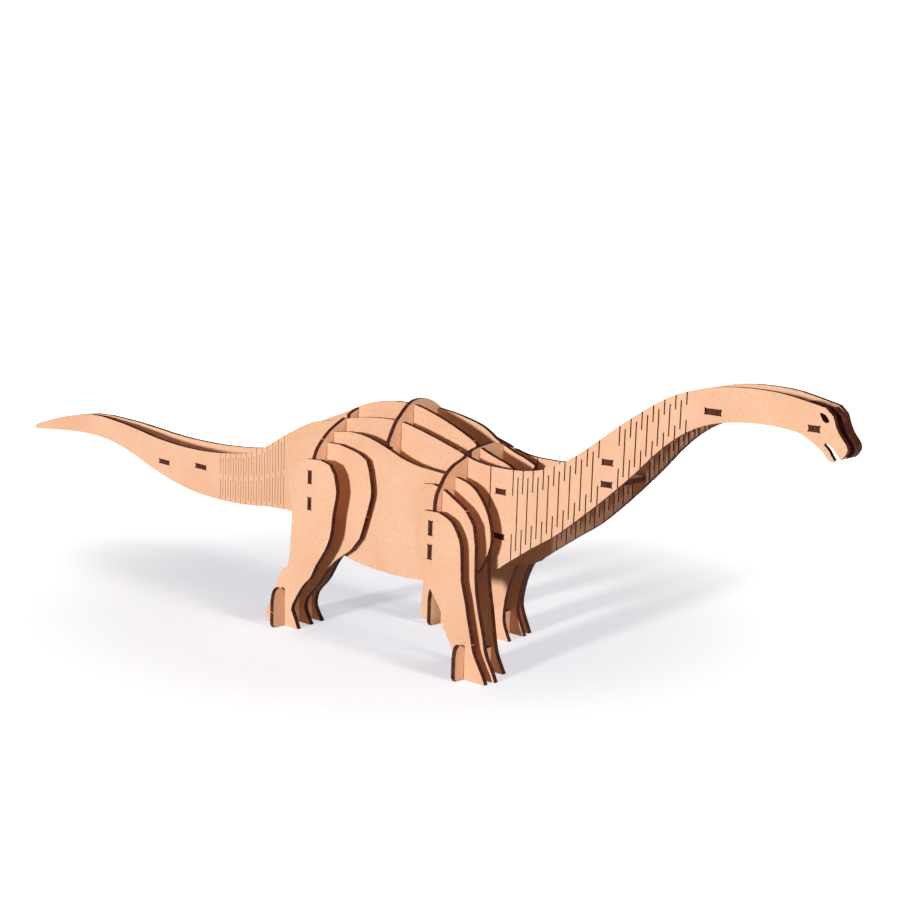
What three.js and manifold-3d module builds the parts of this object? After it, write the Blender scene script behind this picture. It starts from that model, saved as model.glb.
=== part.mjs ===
// Wooden press-fit dinosaur model: a long-necked sauropod built from flat laser-cut sheets that slot
// into each other without glue. Millimetres, X forward to the head, Y to the animal's left, Z up.
// Every sheet is drawn flat, given its slots, and stood in its own plane. The two long side panels are
// also bent: fine cuts across them make hinges, so that they close together at the tail and the head.
import * as THREE from "three";
import { mergeVertices } from "three/addons/utils/BufferGeometryUtils.js";
import Module from "manifold-3d";

const wasm = await Module();
wasm.setup();

// ---------------------------------------------------------------- driving dimensions
const SHEET = 2.5; // thickness of every sheet
const FIT = 0.15; // clearance on each side of a sheet in a slot
const EAR = 0.38; // flare at each inside corner of a slot
const FAR = 60; // how far a cutting outline runs past the edge of a sheet
const CURVE_STEPS = 2; // straight pieces between two neighbouring points of a curved outline

// Distance from the centre plane to the outer face of each upright sheet.
const SIDE_Y = 18.5;
const INNER_Y = 10;
const OUTER_Y = 27.2;
const REAR_LEG_Y = { outer: 42.2, middle: 31.7, inner: 22.9 };
const FRONT_LEG_Y = { outer: 42.2, middle: 35.9, inner: 22.9 };

// Front face of each rib, and how far above the floor its half-lap joints meet.
const REAR_RIB = { x: -38, lap: 80 };
const MIDDLE_RIB = { x: 0, lap: 82 };
const FRONT_RIB = { x: 43.6, lap: 74 };

// Hinge zones of a side panel, as distances along it from the middle rib, with the turn in radians.
const NECK_BENDS = [
  { start: 69, end: 117, turn: 0.145, creases: 4 },
  { start: 123, end: 164, turn: -0.09, creases: 3 },
];
const TAIL_BENDS = [
  { start: 72, end: 100, turn: 0.082, creases: 3 },
  { start: 262, end: 300, turn: -0.082, creases: 3 },
];
const FLUSH = 0.05; // how far the end of a tenon stays under the face it comes through
const SLIT = 0.6; // width of a laser-cut slit in the neck
const KERF = 0.3; // width of a fine cut in the tail hinge

const FACE_COLOUR = 0xe9b894;
const DARK_COLOUR = 0xd8a27c;

// ---------------------------------------------------------------- flat drawing
const points = (pairs) => pairs.map(([u, v]) => new THREE.Vector2(u, v));

// A closed outline from runs of points: a run of two or more is a smooth curve, a single one a corner.
function outline(...runs) {
  const shape = new THREE.Shape();
  const [first, ...rest] = points(runs[0]);
  shape.moveTo(first.x, first.y);
  if (rest.length > 0) shape.splineThru(rest);
  for (const run of runs.slice(1)) {
    const [corner, ...curve] = points(run);
    shape.lineTo(corner.x, corner.y);
    if (curve.length > 0) shape.splineThru(curve);
  }
  return shape;
}

function rectangle(u0, u1, v0, v1) {
  return outline([[u0, v0]], [[u1, v0]], [[u1, v1]], [[u0, v1]]);
}

// A closed slot whose four corners flare outwards, as a laser leaves them.
function earedSlot(u0, u1, v0, v1) {
  const corner = (u, v, toU, toV) => [
    [u, v + toV * 2 * EAR],
    [u - toU * EAR, v - toV * 0.4 * EAR],
    [u + toU * 2 * EAR, v],
  ];
  const round = [
    ...corner(u0, v0, 1, 1),
    ...corner(u1, v0, -1, 1).reverse(),
    ...corner(u1, v1, -1, -1),
    ...corner(u0, v1, 1, -1).reverse(),
  ];
  return outline(...round.map((point) => [point]));
}

// ---------------------------------------------------------------- solids
function toSolid(geometry) {
  const bare = geometry.clone();
  bare.deleteAttribute("normal");
  bare.deleteAttribute("uv");
  const merged = mergeVertices(bare, 1e-4);
  return new wasm.Manifold(
    new wasm.Mesh({
      numProp: 3,
      vertProperties: merged.attributes.position.array,
      triVerts: new Uint32Array(merged.index.array),
    }),
  );
}

function toGeometry(solid) {
  const mesh = solid.getMesh();
  const geometry = new THREE.BufferGeometry();
  geometry.setAttribute("position", new THREE.BufferAttribute(mesh.vertProperties, 3));
  geometry.setIndex(new THREE.BufferAttribute(mesh.triVerts, 1));
  return geometry;
}

function extrude(shape, depth) {
  return new THREE.ExtrudeGeometry(shape, { depth, bevelEnabled: false, curveSegments: CURVE_STEPS });
}

// A flat sheet in its own plane, 0 to SHEET thick, with the cut-outs taken from it.
function cutSheet(shape, cutouts) {
  let sheet = toSolid(extrude(shape, SHEET));
  for (const cutout of cutouts) {
    const cutter = toSolid(extrude(cutout, SHEET + 2).translate(0, 0, -1));
    sheet = sheet.subtract(cutter);
  }
  return toGeometry(sheet);
}

// ---------------------------------------------------------------- bending a sheet
// Splits every triangle along the line u = at, so that the sheet can turn there.
function crease(geometry, at) {
  const flat = geometry.index ? geometry.toNonIndexed() : geometry;
  const source = flat.attributes.position;
  const kept = [];
  const corner = (i) => new THREE.Vector3().fromBufferAttribute(source, i);
  const side = (p) => (Math.abs(p.x - at) < 1e-5 ? 0 : Math.sign(p.x - at));
  const meet = (p, q) => {
    const [a, b] = p.x < q.x ? [p, q] : [q, p];
    const m = a.clone().lerp(b, (at - a.x) / (b.x - a.x));
    m.x = at;
    return m;
  };
  const keep = (...corners) => corners.forEach((p) => kept.push(p.x, p.y, p.z));
  for (let i = 0; i < source.count; i += 3) {
    const p = [corner(i), corner(i + 1), corner(i + 2)];
    const s = p.map(side);
    if (!s.includes(1) || !s.includes(-1)) {
      keep(...p);
      continue;
    }
    // Turn the triangle so that its lone corner, or its corner on the line, comes first.
    const onLine = s.indexOf(0);
    const lone = onLine >= 0 ? onLine : s.findIndex((v) => v === -Math.sign(s[0] + s[1] + s[2]));
    const [a, b, c] = [p[lone], p[(lone + 1) % 3], p[(lone + 2) % 3]];
    if (onLine >= 0) {
      const m = meet(b, c);
      keep(a, b, m, a, m, c);
    } else {
      const ab = meet(a, b);
      const ac = meet(a, c);
      keep(a, ab, ac, ab, b, c, ab, c, ac);
    }
  }
  const split = new THREE.BufferGeometry();
  split.setAttribute("position", new THREE.Float32BufferAttribute(kept, 3));
  return split;
}

// Where a point at distance s along a bent panel lies: forward travel, inward travel and heading.
function bentPath(s, bends) {
  let travelled = 0;
  let forward = 0;
  let inward = 0;
  let heading = 0;
  for (const { start, end, turn } of bends) {
    const straight = Math.max(0, Math.min(s, start) - travelled);
    forward += straight * Math.cos(heading);
    inward += straight * Math.sin(heading);
    travelled += straight;
    const arc = Math.max(0, Math.min(s, end) - start);
    const angle = (turn * arc) / (end - start);
    const chord = arc > 0 ? arc * (Math.sin(angle / 2) / (angle / 2)) : 0;
    forward += chord * Math.cos(heading + angle / 2);
    inward += chord * Math.sin(heading + angle / 2);
    heading += angle;
    travelled += arc;
  }
  const last = Math.max(0, s - travelled);
  return {
    forward: forward + last * Math.cos(heading),
    inward: inward + last * Math.sin(heading),
    heading,
  };
}

function creaseLines(bends, direction) {
  return bends.flatMap(({ start, end, creases }) => {
    const step = (end - start) / creases;
    return Array.from({ length: creases + 1 }, (_, i) => direction * (start + i * step));
  });
}

// Bends a flat panel drawn in (s, z), with its outer face at depth 0, and stands it at side = -1 or 1.
function bendPanel(flat, side) {
  let geometry = flat;
  for (const at of [...creaseLines(NECK_BENDS, 1), ...creaseLines(TAIL_BENDS, -1)]) {
    geometry = crease(geometry, at);
  }
  const position = geometry.attributes.position;
  for (let i = 0; i < position.count; i++) {
    const s = position.getX(i);
    const z = position.getY(i);
    const depth = position.getZ(i);
    const end = Math.sign(s);
    const path = bentPath(Math.abs(s), s < 0 ? TAIL_BENDS : NECK_BENDS);
    const x = end * (path.forward - depth * Math.sin(path.heading));
    const y = SIDE_Y - path.inward - depth * Math.cos(path.heading);
    position.setXYZ(i, x, side * y, z);
  }
  const merged = mergeVertices(geometry, 1e-4);
  if (side < 0) flipFaces(merged);
  return merged;
}

function flipFaces(geometry) {
  const index = geometry.index;
  for (let i = 0; i < index.count; i += 3) {
    const first = index.getX(i);
    index.setX(i, index.getX(i + 1));
    index.setX(i + 1, first);
  }
}

// ---------------------------------------------------------------- placing sheets
const model = new THREE.Group();

function addMesh(name, geometry, colour) {
  geometry.computeVertexNormals();
  const material = new THREE.MeshStandardMaterial({ color: colour, roughness: 0.75, metalness: 0 });
  const mesh = new THREE.Mesh(geometry, material);
  mesh.name = name;
  model.add(mesh);
  return mesh;
}

// An upright sheet along the animal, drawn in (x, z), whose outer face is outerY from the centre.
function addLengthwise(name, shape, cutouts, outerY, side) {
  const mesh = addMesh(name, cutSheet(shape, cutouts), FACE_COLOUR);
  mesh.rotation.x = Math.PI / 2;
  mesh.position.y = side > 0 ? outerY : SHEET - outerY;
  return mesh;
}

// Turns a drawing in (y, z) to face along X.
const ACROSS = new THREE.Matrix4().makeBasis(
  new THREE.Vector3(0, 1, 0),
  new THREE.Vector3(0, 0, 1),
  new THREE.Vector3(1, 0, 0),
);

// An upright sheet across the animal, drawn in (y, z), with its front face at frontX.
function addCrosswise(name, shape, cutouts, frontX) {
  const mesh = addMesh(name, cutSheet(shape, cutouts), DARK_COLOUR);
  mesh.quaternion.setFromRotationMatrix(ACROSS);
  mesh.position.x = frontX - SHEET;
  return mesh;
}

// A level sheet drawn in (x, y), centred on height z.
function addLevel(name, shape, z) {
  const mesh = addMesh(name, cutSheet(shape, []), DARK_COLOUR);
  mesh.position.z = z - SHEET / 2;
  return mesh;
}

const SIDES = { right: -1, left: 1 };

// The slot in a lengthwise sheet that a rib comes down into, and the one in a rib that goes over it.
function slotFromTop(rib, lap) {
  return rectangle(rib.x - SHEET - FIT, rib.x + FIT, lap - FIT, lap + FAR);
}

function slotFromBelow(outerY, lap) {
  return rectangle(outerY - SHEET - FIT, outerY + FIT, lap - FAR, lap + FIT);
}

// ---------------------------------------------------------------- spacers between the side panels
const SPACERS = [
  { name: "tail_spacer_rear", s: -193, z: 60.9, width: 9.2 },
  { name: "tail_spacer_front", s: -157.5, z: 63.8, width: 9.2 },
  { name: "chest_spacer_upper", s: 64.4, z: 85.7, width: 5.2 },
  { name: "chest_spacer_lower", s: 64.4, z: 64.4, width: 5.2 },
  { name: "neck_spacer_upper", s: 122.2, z: 107.5, width: 4.6 },
  { name: "neck_spacer_lower", s: 122.2, z: 97.5, width: 4.6 },
  { name: "throat_spacer", s: 173, z: 136.2, width: 7.2 },
  { name: "head_spacer", s: 220.4, z: 135.1, width: 4.3 },
];
const TENON_PLAY = 0.45; // play at each end of a spacer's tenon, which the slant of the panel needs
const SHOULDER = 0.7; // how far a spacer's body reaches past its tenon on each side

function spacerSlot({ s, z, width }) {
  const reach = width / 2 + TENON_PLAY;
  return earedSlot(s - reach, s + reach, z - SHEET / 2 - FIT, z + SHEET / 2 + FIT);
}

function spacerShape({ s, width }) {
  const end = Math.sign(s);
  const shoulders = [];
  for (const u of [-width / 2 - SHOULDER, -width / 2, width / 2, width / 2 + SHOULDER]) {
    const bends = end < 0 ? TAIL_BENDS : NECK_BENDS;
    const path = bentPath(Math.abs(s + u), bends);
    const outer = SIDE_Y - path.inward;
    shoulders.push({ x: end * path.forward, inner: outer - SHEET - 2 * FIT, outer: outer - FLUSH });
  }
  const [a, b, c, d] = shoulders;
  const upper = [
    [a.x, a.inner], [b.x, b.inner], [b.x, b.outer],
    [c.x, c.outer], [c.x, c.inner], [d.x, d.inner],
  ];
  const lower = upper.map(([x, y]) => [x, -y]).reverse();
  return outline(...[...upper, ...lower].reverse().map((corner) => [corner]));
}

// ---------------------------------------------------------------- long side panels
const TAIL_TOP = [
  [-327, 61.8], [-327, 64.4], [-311, 69.3], [-294, 73.7], [-268, 78], [-242, 77.4], [-222, 75.8],
  [-203, 73.7], [-184, 72.6], [-165, 72.5], [-147, 73.4], [-130, 75.4], [-113.5, 78.2], [-104, 81.3],
  [-94, 86.4], [-81, 93.4],
];
const BACK_TOP = [
  [-68, 99.8], [-59, 102.8], [-48, 104.7], [-38, 106.8], [-26, 109], [-13, 110.2], [-3, 110.4],
  [4.5, 109.3], [15, 107], [27, 103.9], [38, 100.8], [45, 98.6], [51, 97.4], [58, 96.8],
];
const NECK_TOP = [
  [71, 96.9], [81, 98], [89, 99.8], [98, 103.7], [108, 109.8], [117, 116.6], [128, 125.1],
  [138.5, 132.5], [149.5, 139.2], [159.5, 143.4], [169.5, 146], [182, 147.9], [195, 148.3],
  [206, 147.7], [217, 145.8], [225, 144.2],
];
const FACE_FRONT = [
  [228.5, 141.2], [230.1, 137], [232, 133.7], [235, 130.2], [235.7, 127.6], [234.2, 124.9],
];
const MOUTH_UPPER = [[233, 123.8], [232.2, 124.8], [230.6, 126.6], [229, 128.4], [226.2, 130]];
const MOUTH_LOWER = [[225.1, 129.1], [227.4, 127.1], [228.8, 125], [230.3, 123.2]];
const NECK_BOTTOM = [
  [229.3, 122.4], [227.2, 123.2], [225.2, 125.7], [222, 128.1], [216, 131.5], [211.5, 132.9],
  [199, 133.9], [187, 133.4], [175.5, 131.7], [166.5, 128.8], [159, 124.9], [152, 119.9], [144.5, 113.2],
  [137.5, 105.9], [130, 98.6], [115.5, 85.5], [100, 72.6], [92, 67.1], [84, 62.1], [69, 52],
];
const BELLY = [[61, 46.8], [45, 41], [25, 37.2], [5, 36], [-20, 38.4], [-45, 44.6], [-66, 51.4]];
const TAIL_BOTTOM = [
  [-76, 52.9], [-95, 52], [-112, 49.9], [-130, 48.5], [-147, 48.2], [-165, 48.7], [-184, 51.1],
  [-203, 55], [-222, 60], [-242, 64.2], [-262, 65.8], [-283, 65.5], [-303, 64], [-320, 62.3],
];

const panelTop = [...TAIL_TOP, ...BACK_TOP, ...NECK_TOP];
const panelBottom = [...NECK_BOTTOM, ...BELLY, ...TAIL_BOTTOM];

// Height of a drawn edge at s, between its two neighbouring points.
function edgeHeight(edge, s) {
  for (let i = 1; i < edge.length; i++) {
    const [a, b] = [edge[i - 1], edge[i]];
    if ((a[0] - s) * (b[0] - s) <= 0 && a[0] !== b[0]) {
      return a[1] + ((b[1] - a[1]) * (s - a[0])) / (b[0] - a[0]);
    }
  }
  throw new Error("no edge at " + s);
}

// Slits of a lattice hinge: each pitch has one from the top edge, one from the bottom edge, and half a
// pitch further on one that touches neither edge.
function latticeSlits(zone) {
  const { start, pitch, count, width, topShare, bottomShare, innerMargin, lean } = zone;
  const slits = [];
  for (let i = 0; i < count; i++) {
    const s = start + i * pitch;
    const top = edgeHeight(panelTop, s);
    const bottom = edgeHeight(panelBottom, s);
    const height = top - bottom;
    slits.push(slitOutline(s, top - topShare * height, top + 3, width));
    slits.push(slitOutline(s + lean, bottom - 3, bottom + bottomShare * height, width));
    if (i === count - 1) break;
    const mid = s + pitch / 2;
    const innerTop = edgeHeight(panelTop, mid) - innerMargin;
    const innerBottom = edgeHeight(panelBottom, mid) + innerMargin;
    slits.push(slitOutline(mid, innerBottom, innerTop, width));
  }
  return slits;
}

function slitOutline(s, z0, z1, width) {
  return rectangle(s - width / 2, s + width / 2, z0, z1);
}

const LATTICES = [
  {
    start: 71.7, pitch: 5.75, count: 9, width: SLIT,
    topShare: 0.28, bottomShare: 0.3, innerMargin: 3.4, lean: 0.15,
  },
  {
    start: 127.6, pitch: 5.4, count: 7, width: SLIT,
    topShare: 0.32, bottomShare: 0.32, innerMargin: 3, lean: 0.2,
  },
];
const TAIL_HINGE = { start: -139, pitch: 4.6, count: 13, margin: 2.6 };

// Fine cuts of the tail hinge: pairs from both edges, and between them one that touches neither.
function tailKerfs({ start, pitch, count, margin }) {
  const cuts = [];
  for (let i = 0; i < count; i++) {
    const s = start + i * pitch;
    const top = edgeHeight(panelTop, s);
    const bottom = edgeHeight(panelBottom, s);
    const middle = (top + bottom) / 2;
    cuts.push(slitOutline(s, middle + margin / 2, top + 3, KERF));
    cuts.push(slitOutline(s, bottom - 3, middle - margin / 2, KERF));
    if (i === count - 1) break;
    const mid = s + pitch / 2;
    const innerTop = edgeHeight(panelTop, mid) - margin;
    cuts.push(slitOutline(mid, edgeHeight(panelBottom, mid) + margin, innerTop, KERF));
  }
  return cuts;
}

const EYE = outline(
  [[222.4, 141.8], [224, 141.9], [225.6, 140.9], [226.7, 139.5], [227, 138.5]],
  [[225.6, 138.1], [224.4, 138.6], [223.4, 139.9]],
);
const SHOULDER_SLIT = slitOutline(58, 77, 100, SLIT);

function makeSidePanels() {
  const shape = outline(panelTop, FACE_FRONT, MOUTH_UPPER, MOUTH_LOWER, panelBottom);
  const cutouts = [
    EYE,
    SHOULDER_SLIT,
    slotFromTop(REAR_RIB, REAR_RIB.lap),
    slotFromTop(MIDDLE_RIB, MIDDLE_RIB.lap),
    slotFromTop(FRONT_RIB, FRONT_RIB.lap),
    ...SPACERS.map(spacerSlot),
    ...LATTICES.flatMap(latticeSlits),
    ...tailKerfs(TAIL_HINGE),
  ];
  const flat = cutSheet(shape, cutouts);
  for (const [sideName, side] of Object.entries(SIDES)) {
    addMesh(`side_panel_${sideName}`, bendPanel(flat.clone(), side), FACE_COLOUR);
  }
}

// ---------------------------------------------------------------- middle sheet of the head
// It stands inside the head against the left panel, and closes the eye and the mouth from behind.
const HEAD_MIDDLE_S = 220; // distance along the panels where its drawing lines up with theirs
const HEAD_MIDDLE = { outerY: 3.4, rear: [[207, 135.4], [207, 144.6]] };

function makeHeadMiddle() {
  const [low, high] = HEAD_MIDDLE.rear;
  const top = [high, [217, 145.4], [225, 143.9]];
  const below = [[233, 123.8], [227, 126.2], [222.6, 129.4], [216, 133.2], low];
  const spacer = SPACERS.find(({ name }) => name === "head_spacer");
  const slot = spacerSlot({ ...spacer, width: spacer.width + 2 * SHOULDER });
  const { forward } = bentPath(HEAD_MIDDLE_S, NECK_BENDS);
  const mesh = addLengthwise("head_middle", outline(top, FACE_FRONT, below), [slot], HEAD_MIDDLE.outerY, 1);
  mesh.position.x = forward - HEAD_MIDDLE_S;
}

// ---------------------------------------------------------------- body sheets
const INNER_BELOW = [
  [60, 87.5], [58.2, 80], [58, 70], [52, 56], [36, 47], [12, 42.5], [-15, 43.5], [-45, 50], [-75, 60.5],
];
// The left inner sheet has a lower back than the right one.
const INNER_BODY = {
  right: outline(
    [[-90, 83], [-77, 95.2], [-62, 102.6], [-48, 108], [-36, 113.2], [-26, 116.2], [-13, 118]],
    [[-2, 118.3], [8, 116.4], [23, 111.8], [36, 106.6], [43, 102.8], [51, 99.8], [60, 97.2], [65.5, 94.6]],
    INNER_BELOW,
  ),
  left: outline(
    [[-90, 79], [-77, 90.8], [-62, 98.4], [-48, 104], [-36, 109], [-26, 112], [-13, 114.2]],
    [[-2, 114.8], [9.5, 113.6], [18, 112.1], [26.5, 110.2], [33, 107.6], [40, 103.4], [50.8, 99]],
    [[56, 97.6], [63.2, 94.8]],
    INNER_BELOW,
  ),
};
const OUTER_BODY = outline(
  [[-70.5, 76], [-70.2, 84], [-68, 90], [-62, 94.4], [-53, 97.4], [-41, 100.5], [-27, 102.5]],
  [[-19, 102.2], [-11, 100.7], [0, 97.5], [9, 94.3], [20, 92.1], [33, 91.2]],
  [[45, 90.3], [51, 88.8], [56, 86.2], [60.5, 81.5], [64, 76], [66.2, 69], [66.5, 62.5], [65, 57.2]],
  [[61, 49.5], [53, 42.6], [40, 38.6], [25, 36.9], [5, 35.8], [-17, 37.1], [-30, 39.6], [-46, 45.5]],
  [[-58, 51.5], [-66, 57.5], [-70, 66]],
);

function makeBodySheets() {
  for (const [sideName, side] of Object.entries(SIDES)) {
    const innerSlots = [REAR_RIB, MIDDLE_RIB, FRONT_RIB].map((rib) => slotFromTop(rib, rib.lap));
    addLengthwise(`inner_body_${sideName}`, INNER_BODY[sideName], innerSlots, INNER_Y, side);
    const outerSlots = [slotFromTop(REAR_RIB, REAR_RIB.lap), slotFromTop(FRONT_RIB, FRONT_RIB.lap)];
    addLengthwise(`outer_body_${sideName}`, OUTER_BODY, outerSlots, OUTER_Y, side);
  }
}

// ---------------------------------------------------------------- ribs
// A curve across the whole rib, from its left half drawn in (y, z) with the centre point last.
function mirrored(half) {
  const other = half.slice(0, -1).map(([y, z]) => [-y, z]);
  return [...half, ...other.reverse()];
}

const NOTCH_DROP = 0.6; // how far the notched top of a rib lies under a side panel's edge
const REAR_TENONS = [[62.9, 69.5], [76.2, 83]];
const FRONT_TENONS = [[52.9, 60.1], [64.3, 71.5]];

// Rib outline with a pair of tenons at each end that pass through the outer leg sheets.
function ribWithTenons(top, bottomHalf, tenons, legY) {
  const end = legY - SHEET - FIT;
  const tip = legY - FLUSH;
  const side = [];
  for (const [low, high] of tenons) {
    const edges = [low + FIT, high - FIT];
    side.push([end, edges[0]], [tip, edges[0]], [tip, edges[1]], [end, edges[1]]);
  }
  const otherSide = side.map(([y, z]) => [-y, z]).reverse();
  const corners = (run) => run.map((corner) => [corner]);
  const under = mirrored(bottomHalf).map(([y, z]) => [-y, z]);
  return outline(...corners(side), top, ...corners(otherSide), under);
}

// Tops of the ribs from the animal's left to its right; they are lower on the left, as the sheets are.
const REAR_TOP = [
  [39.4, 87.6], [37.6, 91.6], [33.7, 96], [29.8, 99.2], [26.4, 101.4], [22.9, 103], [18.6, 104.6],
  [13, 106.4], [7, 109.6], [0, 112.3], [-7, 111.7], [-13, 110], [-18.6, 107.2], [-22.9, 105.2],
  [-26.4, 103.4], [-29.8, 101.2], [-33.7, 97.8], [-37.6, 93.2], [-39.4, 89.2],
];
const REAR_BOTTOM = [[39.4, 61], [30, 57], [15, 54], [0, 53]];
const FRONT_TOP = [
  [39.4, 77.4], [38.4, 81.6], [36, 85.2], [33.8, 88.4], [30.7, 91.6], [26.6, 94.8], [22, 97.4],
  [18.8, 98.9], [14.9, 100], [9.5, 101.2], [5, 103], [0, 104], [-9, 103], [-14.9, 101.8],
  [-18.5, 99.6], [-22, 97.9], [-26.6, 96.3], [-30.7, 93.7], [-33.8, 90.6], [-36, 87.2],
  [-38.4, 83.4], [-39.4, 79],
];
const FRONT_BOTTOM = [[39.4, 51], [30, 48.5], [15, 47.5], [0, 47.2]];
// The middle rib's dome leans to the animal's right.
const MIDDLE_OUTLINE = outline(
  [[24.4, 62]],
  [[24.4, 98.6]],
  [[25.4, 99], [23.4, 101.2], [19.2, 106.4], [14.4, 111.2], [9.7, 115.1], [6.3, 117.3], [2.4, 119.3],
    [-2.2, 120.4], [-8.2, 120.2], [-12.3, 118.6], [-15.8, 115.9], [-19.3, 112.5], [-21.5, 110.2],
    [-24, 106], [-25.8, 102.4], [-26.6, 100.2], [-26.2, 98.8]],
  [[-24.4, 98.6]],
  [[-24.4, 62]],
  [[-14, 52], [0, 49], [14, 52]],
);

// Where the front and rear ribs cross a side panel, their top is cut down to just under its edge.
function panelNotches(rib) {
  const bottom = edgeHeight(panelTop, rib.x) - NOTCH_DROP;
  return [SIDE_Y, SHEET - SIDE_Y].map((y) => rectangle(y - SHEET - FIT, y + FIT, bottom, bottom + FAR));
}

function makeRibs() {
  const laps = (list, lap) => list.flatMap((y) => [slotFromBelow(y, lap), slotFromBelow(SHEET - y, lap)]);
  const rear = ribWithTenons(REAR_TOP, REAR_BOTTOM, REAR_TENONS, REAR_LEG_Y.outer);
  const rearSlots = [INNER_Y, SIDE_Y, OUTER_Y, REAR_LEG_Y.middle, REAR_LEG_Y.inner];
  const rearCuts = [...laps(rearSlots, REAR_RIB.lap), ...panelNotches(REAR_RIB)];
  addCrosswise("rib_rear", rear, rearCuts, REAR_RIB.x);
  const front = ribWithTenons(FRONT_TOP, FRONT_BOTTOM, FRONT_TENONS, FRONT_LEG_Y.outer);
  const frontSlots = [INNER_Y, SIDE_Y, OUTER_Y, FRONT_LEG_Y.middle, FRONT_LEG_Y.inner];
  const frontCuts = [...laps(frontSlots, FRONT_RIB.lap), ...panelNotches(FRONT_RIB)];
  addCrosswise("rib_front", front, frontCuts, FRONT_RIB.x);
  addCrosswise("rib_middle", MIDDLE_OUTLINE, laps([INNER_Y, SIDE_Y], MIDDLE_RIB.lap), MIDDLE_RIB.x);
}

// ---------------------------------------------------------------- legs
// Right-hand leg sheets in (x, z). The feet stand on z = 0.
const REAR_LEG = {
  outer: outline(
    [[-42, 88.4], [-47.5, 84.5], [-50.6, 77], [-51.4, 66], [-52.3, 48], [-54, 32.6], [-58.4, 29.2]],
    [[-61.6, 23], [-64.5, 15], [-69, 7.4], [-69.8, 3.6], [-67.5, 0]],
    [[-46.4, 0], [-49.8, 6.8], [-51.1, 10.8], [-45, 21], [-41, 25.7], [-38, 28.4], [-34.3, 35.2]],
    [[-27.6, 44.8], [-24.2, 52.4], [-22.8, 63], [-21.1, 70.8], [-20.6, 76], [-22.4, 83.4]],
    [[-25.8, 87.7], [-32, 89.2]],
  ),
  middle: outline(
    [[-44, 96], [-51, 91.5], [-55.5, 82], [-57.5, 68], [-57.2, 48], [-57.6, 35], [-61, 27], [-65, 18]],
    [[-70, 8], [-70.6, 3.4], [-68.5, 0]],
    [[-48, 0], [-50.6, 4.2], [-52.8, 8.6], [-50.8, 14.2], [-43, 22.9], [-33, 35.1], [-20.4, 44.1]],
    [[-14.4, 51], [-11.8, 58], [-7.7, 71], [-7, 76.6], [-8.8, 86]],
    [[-10.7, 90.8], [-17, 93.8], [-29.8, 96.2]],
  ),
  inner: outline(
    [[-40, 90], [-49, 86], [-53.5, 76], [-55.4, 60], [-56, 42], [-59.5, 30], [-64, 20]],
    [[-69.6, 8], [-70.4, 3.4], [-68.4, 0]],
    [[-49.2, 0], [-52.6, 4.6], [-54.4, 9], [-52.4, 15.4], [-45.2, 22.8], [-39.8, 31.6]],
    [[-30, 45], [-24.4, 58], [-21, 73], [-23, 84], [-29, 89.4]],
  ),
};
const FRONT_LEG = {
  outer: outline(
    [[38, 75.8], [34.6, 72], [33.8, 66], [34.9, 57], [38.9, 45.2], [44.6, 37.2], [50.2, 30], [51.4, 24]],
    [[58, 13.1], [60.2, 7.6], [60.9, 0]],
    [[78.6, 0], [77, 3.4], [73.1, 9.8], [70.6, 14.4], [68.8, 21.4], [66.8, 29], [65, 36.8]],
    [[62.2, 46], [61.6, 56], [60.6, 64.4], [56.6, 71.2], [53, 74], [47, 76.1]],
  ),
  middle: outline(
    [[31, 86.4], [26, 82], [24.6, 74], [26, 62], [31, 50], [39, 38.6], [47, 29.6], [54, 18.4]],
    [[59.6, 8.4], [61.4, 0]],
    [[79.4, 0], [76.6, 5.6], [72.7, 12.3], [70.9, 20.3], [67.6, 32], [65.2, 44.4], [64.6, 62]],
    [[63, 71.4], [58, 77.7], [50.8, 82], [43.2, 85.9], [37, 87.2]],
  ),
  inner: outline(
    [[33, 82], [27.6, 76], [26.6, 66], [29, 55], [33.6, 44], [39.6, 34], [44.6, 24], [48.6, 14]],
    [[52, 6], [53, 0]],
    [[73.4, 0], [71, 4.4], [68.6, 9.2], [67, 16], [65, 28], [62.4, 41.4], [61, 56]],
    [[59, 68], [53, 77], [43, 82.6]],
  ),
};
// How far forward each left leg's foot stands from the right one; the sheet above SWING_TOP is the same.
const REAR_SWING = { outer: 51, middle: 51, inner: 51 };
const FRONT_SWING = { outer: -41, middle: -40, inner: -33 };
const SWING_TOP = 62;
// Front face of each right foot piece, and where the left one stands from it.
const REAR_FOOT = { x: -56, swing: 50.5, reach: 7.6, height: 20.4 };
const FRONT_FOOT = { x: 66, swing: -35.5, reach: 6.2, height: 17 };
const FOOT_LAP = 7; // height of the half-lap joints between foot piece and leg sheets
const FOOT_END = 1.4; // how far a foot piece reaches past its leg on the left

function swung(shape, swing) {
  const outlinePoints = shape.getPoints(CURVE_STEPS).map((p) => {
    const share = p.y < SWING_TOP ? 1 - (p.y / SWING_TOP) ** 2 : 0;
    return new THREE.Vector2(p.x + swing * share, p.y);
  });
  return new THREE.Shape(outlinePoints);
}

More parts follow.
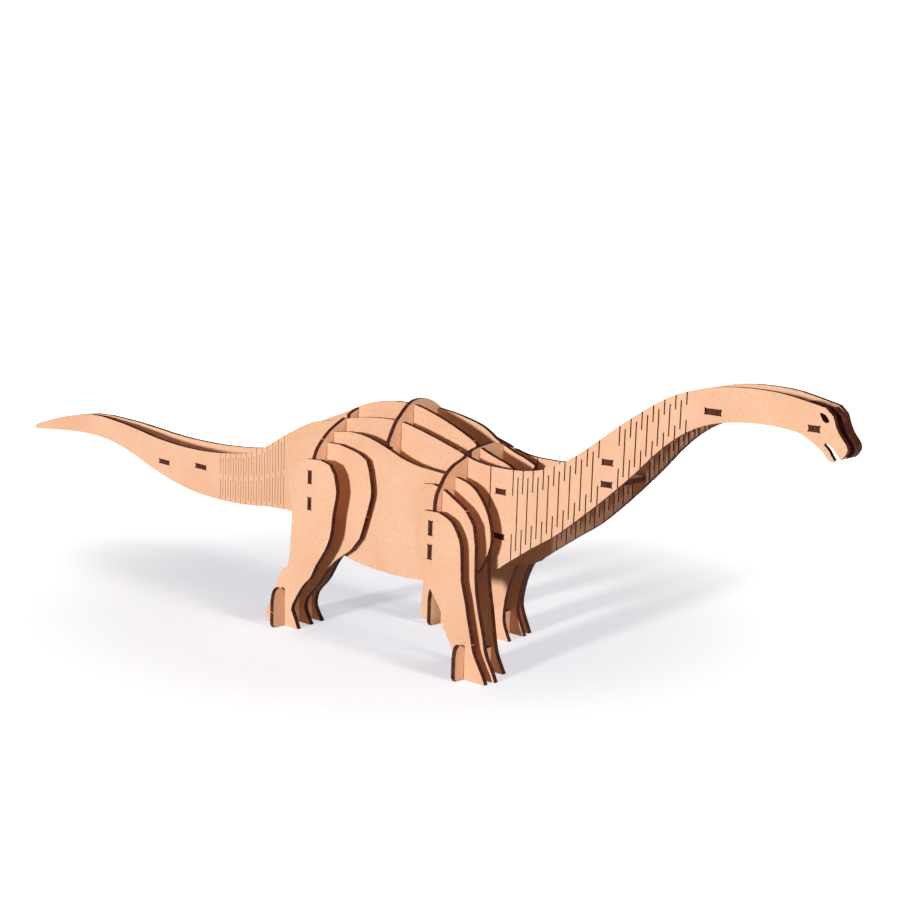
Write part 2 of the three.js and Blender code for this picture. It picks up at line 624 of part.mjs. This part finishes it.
function makeLegs(prefix, sheets, planes, swings, rib, tenons, foot) {
  for (const [sideName, side] of Object.entries(SIDES)) {
    const swingsHere = side > 0;
    const footX = foot.x + (swingsHere ? foot.swing : 0);
    for (const [layer, sheet] of Object.entries(sheets)) {
      const shape = swingsHere ? swung(sheet, swings[layer]) : sheet;
      const footSlot = rectangle(footX - SHEET - FIT, footX + FIT, -FAR, FOOT_LAP + FIT);
      const ribSlots = layer === "outer"
        ? tenons.map(([low, high]) => earedSlot(rib.x - SHEET - FIT, rib.x + FIT, low, high))
        : [slotFromTop(rib, rib.lap)];
      const name = `${prefix}_${sideName}_leg_${layer}`;
      addLengthwise(name, shape, [footSlot, ...ribSlots], planes[layer], side);
    }
    const lobes = footOutline(planes, foot, side);
    const laps = Object.values(planes).map((y) => {
      const near = side > 0 ? y - SHEET : -y;
      return rectangle(near - FIT, near + SHEET + FIT, FOOT_LAP - FIT, FOOT_LAP + FAR);
    });
    addCrosswise(`${prefix}_${sideName}_foot`, lobes, laps, footX);
  }
}

const FOOT_WAIST = 0.7; // share of a foot piece's height between the leg sheets
// The lobe outside the leg, from its root down: share of the reach, share of the height.
const FOOT_LOBE = [[0.1, 0.92], [0.5, 1], [0.86, 0.9], [1, 0.66]];
const FOOT_CHAMFER = { across: 1.2, up: 1.6 };

// A foot piece stands out past the leg in a rounded lobe on the animal's right, and just shows on its
// left. The foot pieces of both sides face the same way.
function footOutline(planes, { reach, height }, side) {
  const legFaces = [side * planes.outer, side * (planes.inner - SHEET)];
  const right = Math.min(...legFaces);
  const left = Math.max(...legFaces) + FOOT_END;
  const waist = height * FOOT_WAIST;
  return outline(
    [[left, 0]],
    [[left, waist]],
    [[right + SHEET, waist]],
    FOOT_LOBE.map(([out, up]) => [right - reach * out, height * up]),
    [[right - reach, FOOT_CHAMFER.up]],
    [[right - reach + FOOT_CHAMFER.across, 0]],
  );
}

makeSidePanels();
makeHeadMiddle();
makeBodySheets();
makeRibs();
makeLegs("rear", REAR_LEG, REAR_LEG_Y, REAR_SWING, REAR_RIB, REAR_TENONS, REAR_FOOT);
makeLegs("front", FRONT_LEG, FRONT_LEG_Y, FRONT_SWING, FRONT_RIB, FRONT_TENONS, FRONT_FOOT);
for (const spacer of SPACERS) addLevel(spacer.name, spacerShape(spacer), spacer.z);

// The origin is the middle of the model's footprint, on the floor.
const bounds = new THREE.Box3().setFromObject(model);
model.position.x = -(bounds.min.x + bounds.max.x) / 2;
model.position.y = -(bounds.min.y + bounds.max.y) / 2;

export default model;
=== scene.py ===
"""Wooden press-fit dinosaur: laser-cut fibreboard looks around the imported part, metres, X to the head."""
import math
import random
import bpy
from mathutils import Matrix, Vector


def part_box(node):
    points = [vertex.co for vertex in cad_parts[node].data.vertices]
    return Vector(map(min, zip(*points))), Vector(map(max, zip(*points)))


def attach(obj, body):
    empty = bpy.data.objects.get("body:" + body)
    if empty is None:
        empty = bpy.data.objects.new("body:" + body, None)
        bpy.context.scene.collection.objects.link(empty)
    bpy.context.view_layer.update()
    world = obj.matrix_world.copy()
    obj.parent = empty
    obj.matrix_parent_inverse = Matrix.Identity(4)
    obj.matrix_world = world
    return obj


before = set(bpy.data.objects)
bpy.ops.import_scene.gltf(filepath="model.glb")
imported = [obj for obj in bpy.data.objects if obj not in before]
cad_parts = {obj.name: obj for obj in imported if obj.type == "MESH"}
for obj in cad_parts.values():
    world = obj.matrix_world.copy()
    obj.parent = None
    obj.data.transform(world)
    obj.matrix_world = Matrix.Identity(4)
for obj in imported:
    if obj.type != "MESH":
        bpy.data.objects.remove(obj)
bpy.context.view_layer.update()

MM = 0.001
SHEET = 2.5 * MM

# Colours, as linear reflectances.
BOARD_PALE = (0.790, 0.490, 0.325)
BOARD_WARM = (0.730, 0.425, 0.268)
FIBRE_DARK = (0.440, 0.225, 0.128)
CHAR_DARK = (0.040, 0.0085, 0.0045)
CHAR_MID = (0.105, 0.027, 0.013)
CHAR_TAN = (0.190, 0.062, 0.030)
TAB_PALE = (0.640, 0.350, 0.210)
FLOOR_WHITE = (0.800, 0.800, 0.800)
WALL_WHITE = (1.0, 1.0, 1.0)
# Painted light on the floor: it glows dimmer and bluish near the model, as painted shade around it, and
# brighter far off, where it fades the cast shadows.
NEAR_FLOOR_PAINTED_SHADE = (0.400, 0.440, 0.500)
FAR_FLOOR_PAINTED_LIGHT = (0.900, 0.920, 0.940)

# How fine each noise is, in features per metre.
CLOUD_SCALE, GRAIN_SCALE, FIBRE_SCALE = 22.0, 800.0, 1500.0
STREAK_SCALE, PATCH_SCALE, FUZZ_SCALE = 700.0, 60.0, 3000.0
FIBRE_STRETCH = (1.0, 1.0, 0.35)
STREAK_STRETCH = 0.12  # streaks run across the thickness of a cut edge

FACE_COSINE = 0.85  # a surface is a flat face, not a cut edge, above this share of its normal
SPECULAR = 0.12
BUMP_STRENGTH = 0.5
BOARD_BUMP = 0.08 * MM
STUB_BUMP = 0.05 * MM
EDGE_ROUGHNESS, FACE_ROUGHNESS_GAIN = 0.62, 0.14
STUB_ROUGHNESS = 0.8

# Sheets whose flat faces look along the width; ribs and feet look along the length, spacers upwards.
LENGTHWISE = ("side_panel", "inner_body", "outer_body")


def sheet_axis(name):
    """0, 1 or 2: the axis that a sheet's flat faces look along."""
    if "_leg_" in name or name.startswith(LENGTHWISE):
        return 1
    if name.startswith("rib") or name.endswith("foot"):
        return 0
    return 2


# ---------------------------------------------------------------- shader building
class Shader:
    """A material's node tree, with short ways to add and join nodes."""

    def __init__(self, name):
        self.material = bpy.data.materials.new(name)
        self.material.use_nodes = True
        self.tree = self.material.node_tree
        self.tree.nodes.clear()

    def node(self, kind, **settings):
        made = self.tree.nodes.new(kind)
        for key, value in settings.items():
            setattr(made, key, value)
        return made

    def put(self, socket, value):
        """Sets an input to a constant, or joins it to another node's output."""
        if isinstance(value, bpy.types.NodeSocket):
            self.tree.links.new(value, socket)
        elif isinstance(value, tuple) and len(value) == 3 and socket.type == "RGBA":
            socket.default_value = (*value, 1.0)
        else:
            socket.default_value = value

    def math(self, operation, a, b=0.0, clamp=False):
        made = self.node("ShaderNodeMath", operation=operation, use_clamp=clamp)
        self.put(made.inputs[0], a)
        self.put(made.inputs[1], b)
        return made.outputs[0]

    def mix(self, share, a, b, blend="MIX"):
        made = self.node("ShaderNodeMix", data_type="RGBA", blend_type=blend)
        self.put(made.inputs["Factor"], share)
        self.put(made.inputs[6], a)
        self.put(made.inputs[7], b)
        return made.outputs[2]

    def step(self, value, low, high):
        """0 below low, 1 above high, smooth between."""
        made = self.node("ShaderNodeMapRange", interpolation_type="SMOOTHSTEP")
        self.put(made.inputs["Value"], value)
        self.put(made.inputs["From Min"], low)
        self.put(made.inputs["From Max"], high)
        return made.outputs["Result"]

    def noise(self, place, scale, detail=3.0, rough=0.55, stretch=(1.0, 1.0, 1.0)):
        mapped = self.node("ShaderNodeMapping")
        self.put(mapped.inputs["Vector"], place)
        self.put(mapped.inputs["Scale"], stretch)
        made = self.node("ShaderNodeTexNoise")
        self.put(made.inputs["Vector"], mapped.outputs[0])
        self.put(made.inputs["Scale"], scale)
        self.put(made.inputs["Detail"], detail)
        self.put(made.inputs["Roughness"], rough)
        return made.outputs["Fac"]

    def finish(self, colour, roughness, height, distance):
        bump = self.node("ShaderNodeBump")
        self.put(bump.inputs["Height"], height)
        self.put(bump.inputs["Strength"], BUMP_STRENGTH)
        self.put(bump.inputs["Distance"], distance)
        surface = self.node("ShaderNodeBsdfPrincipled")
        self.put(surface.inputs["Base Color"], colour)
        self.put(surface.inputs["Roughness"], roughness)
        self.put(surface.inputs["Specular IOR Level"], SPECULAR)
        self.put(surface.inputs["Normal"], bump.outputs["Normal"])
        out = self.node("ShaderNodeOutputMaterial")
        self.put(out.inputs["Surface"], surface.outputs[0])
        return self.material


def board_material(name, axis):
    """Pale speckled board on the flat faces, laser-burnt brown on the cut edges."""
    s = Shader(name)
    coordinates = s.node("ShaderNodeTexCoord")
    place = coordinates.outputs["Object"]
    normal = s.node("ShaderNodeSeparateXYZ")
    s.put(normal.inputs[0], coordinates.outputs["Normal"])
    facing = s.math("ABSOLUTE", normal.outputs[axis])
    is_face = s.math("GREATER_THAN", facing, FACE_COSINE)

    cloud = s.noise(place, CLOUD_SCALE, 3.0, 0.6)
    grain = s.noise(place, GRAIN_SCALE, 4.0, 0.75)
    fibres = s.noise(place, FIBRE_SCALE, 2.0, 0.6, FIBRE_STRETCH)
    face = s.mix(s.step(cloud, 0.3, 0.75), BOARD_PALE, BOARD_WARM)
    face = s.mix(s.math("MULTIPLY", s.step(grain, 0.5, 0.78), 0.5), face, FIBRE_DARK)
    face = s.mix(s.math("MULTIPLY", s.step(fibres, 0.6, 0.8), 0.3), face, FIBRE_DARK)

    across = tuple(STREAK_STRETCH if i == axis else 1.0 for i in range(3))
    streaks = s.noise(place, STREAK_SCALE, 4.0, 0.65, across)
    patches = s.noise(place, PATCH_SCALE, 2.0, 0.5)
    edge = s.mix(s.step(streaks, 0.35, 0.7), CHAR_DARK, CHAR_MID)
    tan_share = s.math("MULTIPLY", s.step(patches, 0.45, 0.75), s.step(streaks, 0.5, 0.75))
    edge = s.mix(s.math("MULTIPLY", tan_share, 0.6), edge, CHAR_TAN)

    colour = s.mix(is_face, edge, face)
    roughness = s.math("ADD", s.math("MULTIPLY", is_face, FACE_ROUGHNESS_GAIN), EDGE_ROUGHNESS)
    height = s.math("ADD", s.math("MULTIPLY", grain, 0.5), s.math("MULTIPLY", streaks, 0.5))
    return s.finish(colour, roughness, height, BOARD_BUMP)


BOARD = [board_material(f"fibreboard_{'xyz'[axis]}", axis) for axis in range(3)]
for node_name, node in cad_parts.items():
    material = BOARD[sheet_axis(node_name)]
    if not node.material_slots:
        node.data.materials.append(material)
    for material_slot in node.material_slots:
        material_slot.material = material
    for polygon in node.data.polygons:
        polygon.use_smooth = False

# ---------------------------------------------------------------- snapped-off bridges on the cut edges
# Where a thin bridge once held a sheet in its frame, a pale stub crosses the burnt edge. Each stub has
# the sheet it is on, its place on the edge in millimetres, and the edge's normal across the sheet.
STUBS = {
    "leg_hind": ("rear_right_leg_middle", (36.0, 0.0, 62.6), (0.95, 0.0, -0.31)),
    "inner": ("inner_body_right", (84.9, 0.0, 105.4), (0.44, 0.0, 0.90)),
    "side": ("side_panel_right", (82.9, -14.15, 101.2), (0.28, 0.0, 0.96)),
    "rib": ("rib_rear", (0.0, -30.5, 97.8), (0.0, -0.70, 0.72)),
    "leg_fore": ("front_right_leg_middle", (104.1, 0.0, 77.6), (0.66, 0.0, 0.75)),
    "leg_toe": ("front_right_leg_outer", (115.9, 0.0, 17.3), (0.97, 0.0, 0.23)),
    "foot": ("rear_right_foot", (0.0, -46.7, 8.0), (0.0, -1.0, 0.0)),
}
STUB_LENGTH = 0.9 * MM
STUB_RISE = 0.18 * MM
STUB_SINK = 0.1 * MM  # how far a stub's foot goes into the sheet
STUB_SPAN = 0.96  # share of the sheet's thickness that a stub crosses
STUB_ROWS = 7
STUB_SEED = 4
RAY_START, RAY_REACH = 4 * MM, 9 * MM


def edge_point(node_name, place, normal):
    """Where a sheet's cut edge lies behind a place, looked for against the edge's normal."""
    low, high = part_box(node_name)
    axis = sheet_axis(node_name)
    point = Vector(place) * MM
    if not node_name.startswith("side_panel"):
        point[axis] = (low[axis] + high[axis]) / 2
    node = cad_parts[node_name]
    start = point + Vector(normal) * RAY_START
    hit, found, _, _ = node.ray_cast(start, -Vector(normal), distance=RAY_REACH)
    return found if hit else point


def stub_material():
    s = Shader("snapped_fibre")
    place = s.node("ShaderNodeTexCoord").outputs["Object"]
    fuzz = s.noise(place, FUZZ_SCALE, 3.0, 0.7)
    return s.finish(s.mix(fuzz, TAB_PALE, CHAR_TAN), STUB_ROUGHNESS, fuzz, STUB_BUMP)


def add_stub(name, node_name, place, normal, material, rng):
    """A ragged little ridge across the thickness of a sheet's edge."""
    outward = Vector(normal).normalized()
    across = Vector([float(i == sheet_axis(node_name)) for i in range(3)])
    along = outward.cross(across)
    low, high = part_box(node_name)
    thickness = min(SHEET, *(high - low)) * STUB_SPAN
    middle = edge_point(node_name, place, normal)
    verts, faces = [], []
    for i in range(STUB_ROWS):
        side = (i / (STUB_ROWS - 1) - 0.5) * thickness
        width = STUB_LENGTH * rng.uniform(0.35, 0.55)
        rise = STUB_RISE * rng.uniform(0.6, 1.0)
        profile = ((-width, -STUB_SINK), (-width / 2, rise), (width / 2, rise), (width, -STUB_SINK))
        for shift, lift in profile:
            verts.append(middle + across * side + along * shift + outward * lift)
    for i in range(STUB_ROWS - 1):
        for j in range(4):
            a, b = i * 4 + j, i * 4 + (j + 1) % 4
            faces.append((a, b, b + 4, a + 4))
    faces += [(3, 2, 1, 0), tuple(4 * (STUB_ROWS - 1) + j for j in range(4))]
    mesh = bpy.data.meshes.new(name)
    mesh.from_pydata(verts, [], faces)
    mesh.validate()
    mesh.materials.append(material)
    stub = bpy.data.objects.new(name, mesh)
    bpy.context.scene.collection.objects.link(stub)
    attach(stub, "root")


def add_stubs():
    rng = random.Random(STUB_SEED)
    material = stub_material()
    for name, (node_name, place, normal) in STUBS.items():
        add_stub(f"stub_{name}", node_name, place, normal, material, rng)


add_stubs()

# ---------------------------------------------------------------- floor, light and camera
FLOOR_SIZE = 12.0
PAINTED_SHADE_CENTRE = (0.0, 0.03, 0.0)  # middle of the painted shade on the floor, between the legs
PAINTED_SHADE_RANGE = (0.12, 0.34)  # the floor's painted light grows between these distances from there, from painted shade near the model to full brightness far off


def floor():
    half = FLOOR_SIZE / 2
    mesh = bpy.data.meshes.new("floor")
    corners = [(-half, -half, 0), (half, -half, 0), (half, half, 0), (-half, half, 0)]
    mesh.from_pydata(corners, [], [(0, 1, 2, 3)])
    made = bpy.data.objects.new("floor", mesh)
    made.visible_diffuse = False
    bpy.context.scene.collection.objects.link(made)
    s = Shader("floor_white")
    place = s.node("ShaderNodeTexCoord").outputs["Object"]
    distance = s.node("ShaderNodeVectorMath", operation="DISTANCE")
    s.put(distance.inputs[0], place)
    s.put(distance.inputs[1], PAINTED_SHADE_CENTRE)
    # Painted shade and light: the floor glows less near the model and more far away.
    painted_floor_light = s.mix(s.step(distance.outputs["Value"], *PAINTED_SHADE_RANGE), NEAR_FLOOR_PAINTED_SHADE, FAR_FLOOR_PAINTED_LIGHT)
    surface = s.node("ShaderNodeBsdfPrincipled")
    s.put(surface.inputs["Base Color"], FLOOR_WHITE)
    s.put(surface.inputs["Roughness"], 1.0)
    s.put(surface.inputs["Specular IOR Level"], 0.0)
    s.put(surface.inputs["Emission Color"], painted_floor_light)
    s.put(surface.inputs["Emission Strength"], 1.0)
    out = s.node("ShaderNodeOutputMaterial")
    s.put(out.inputs["Surface"], surface.outputs[0])
    mesh.materials.append(s.material)


def sky():
    """Even, warm fill light; the camera itself sees a plain white wall."""
    world = bpy.data.worlds.new("studio")
    world.use_nodes = True
    tree = world.node_tree
    tree.nodes.clear()
    seen = tree.nodes.new("ShaderNodeLightPath").outputs["Is Camera Ray"]
    shades = []
    for colour, strength in ((FILL_COLOUR, FILL_STRENGTH), (WALL_WHITE, WALL_STRENGTH)):
        background = tree.nodes.new("ShaderNodeBackground")
        background.inputs["Color"].default_value = (*colour, 1.0)
        background.inputs["Strength"].default_value = strength
        shades.append(background.outputs[0])
    mixed = tree.nodes.new("ShaderNodeMixShader")
    tree.links.new(seen, mixed.inputs[0])
    tree.links.new(shades[0], mixed.inputs[1])
    tree.links.new(shades[1], mixed.inputs[2])
    out = tree.nodes.new("ShaderNodeOutputWorld")
    tree.links.new(mixed.outputs[0], out.inputs["Surface"])
    bpy.context.scene.world = world


def direction(azimuth, elevation):
    """Unit vector from the model towards a light or a camera; azimuth 0 is -Y and 90 is +X."""
    a, e = math.radians(azimuth), math.radians(elevation)
    return Vector((math.sin(a) * math.cos(e), -math.cos(a) * math.cos(e), math.sin(e)))


def soft_light(name, azimuth, elevation, spread, strength, colour):
    """A far, wide studio light; spread is how many degrees of the sky it fills."""
    data = bpy.data.lights.new(name, "SUN")
    data.angle = math.radians(spread)
    data.energy = strength
    data.color = colour
    lamp = bpy.data.objects.new(name, data)
    lamp.rotation_euler = direction(azimuth, elevation).to_track_quat("Z", "Y").to_euler()
    bpy.context.scene.collection.objects.link(lamp)


FILL_COLOUR, FILL_STRENGTH = (1.0, 0.74, 0.56), 0.22
WALL_STRENGTH = 1.05
# Each studio light: azimuth and elevation, spread, strength, colour.
LIGHTS = {
    "key_side": (2, 10, 6, 3.3, (1.0, 1.0, 1.0)),
    "key_front": (91, 22, 14, 1.7, (1.0, 0.98, 0.96)),
}

CAMERA_AT = Vector((0.62250, -0.62783, 0.24737))
CAMERA_AZIMUTH, CAMERA_ELEVATION, CAMERA_ROLL = 41.634, 10.141, 1.805
CAMERA_LENS, CAMERA_SENSOR = 69.87, 36.0
CAMERA_CLIP = (0.01, 100.0)


def add_camera():
    back = direction(CAMERA_AZIMUTH, CAMERA_ELEVATION)
    a, roll = math.radians(CAMERA_AZIMUTH), math.radians(CAMERA_ROLL)
    level = Vector((math.cos(a), math.sin(a), 0.0))
    upright = level.cross(-back)
    right = level * math.cos(roll) + upright * math.sin(roll)
    up = right.cross(-back)
    data = bpy.data.cameras.new("camera")
    data.lens = CAMERA_LENS
    data.sensor_width = CAMERA_SENSOR
    data.clip_start, data.clip_end = CAMERA_CLIP
    made = bpy.data.objects.new("camera", data)
    turn = Matrix((right, up, back)).transposed().to_4x4()
    made.matrix_world = Matrix.Translation(CAMERA_AT) @ turn
    bpy.context.scene.collection.objects.link(made)
    bpy.context.scene.camera = made


floor()
sky()
for light_name, light in LIGHTS.items():
    soft_light(light_name, *light)
add_camera()
bpy.context.scene.view_settings.view_transform = "Standard"
